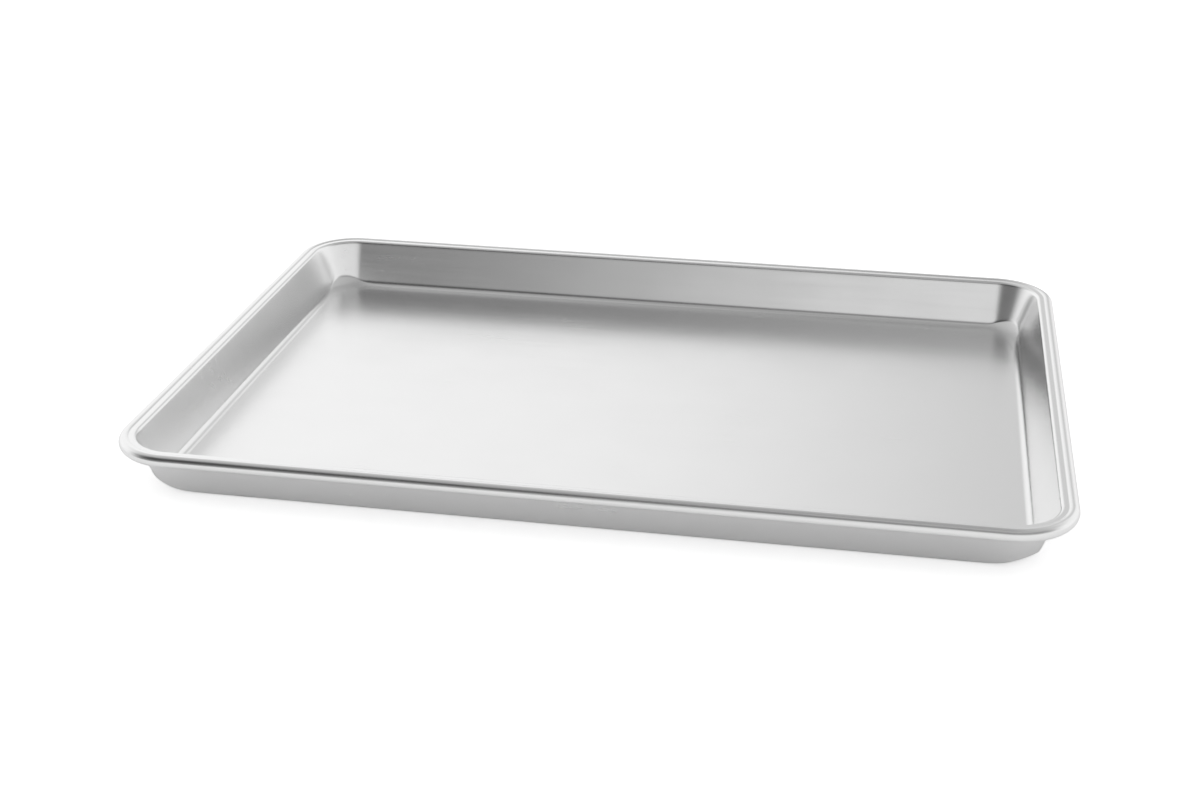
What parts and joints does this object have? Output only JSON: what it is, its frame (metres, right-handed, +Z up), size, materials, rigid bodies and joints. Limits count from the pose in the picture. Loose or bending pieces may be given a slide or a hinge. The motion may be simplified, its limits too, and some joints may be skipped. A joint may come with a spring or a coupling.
{
  "type": "jelly roll pan",
  "caption": "Shallow rectangular baking pan of drawn aluminium sheet with rounded corners, leaning walls and a rolled rim stiffened by a steel wire.",
  "frame": {"origin": "centre of the underside of the floor, the face the pan rests on", "axes": "+X along the pan's length, +Y across its width, +Z up out of the pan"},
  "size_m": [0.403, 0.29, 0.024],
  "materials": {
    "pan_sheet": "satin",
    "rim_wire": "dull galvanised"
  },
  "bodies": {
    "root": {"pan_body": "pan_sheet", "rim_wire": "rim_wire"}
  },
  "joints": []
}
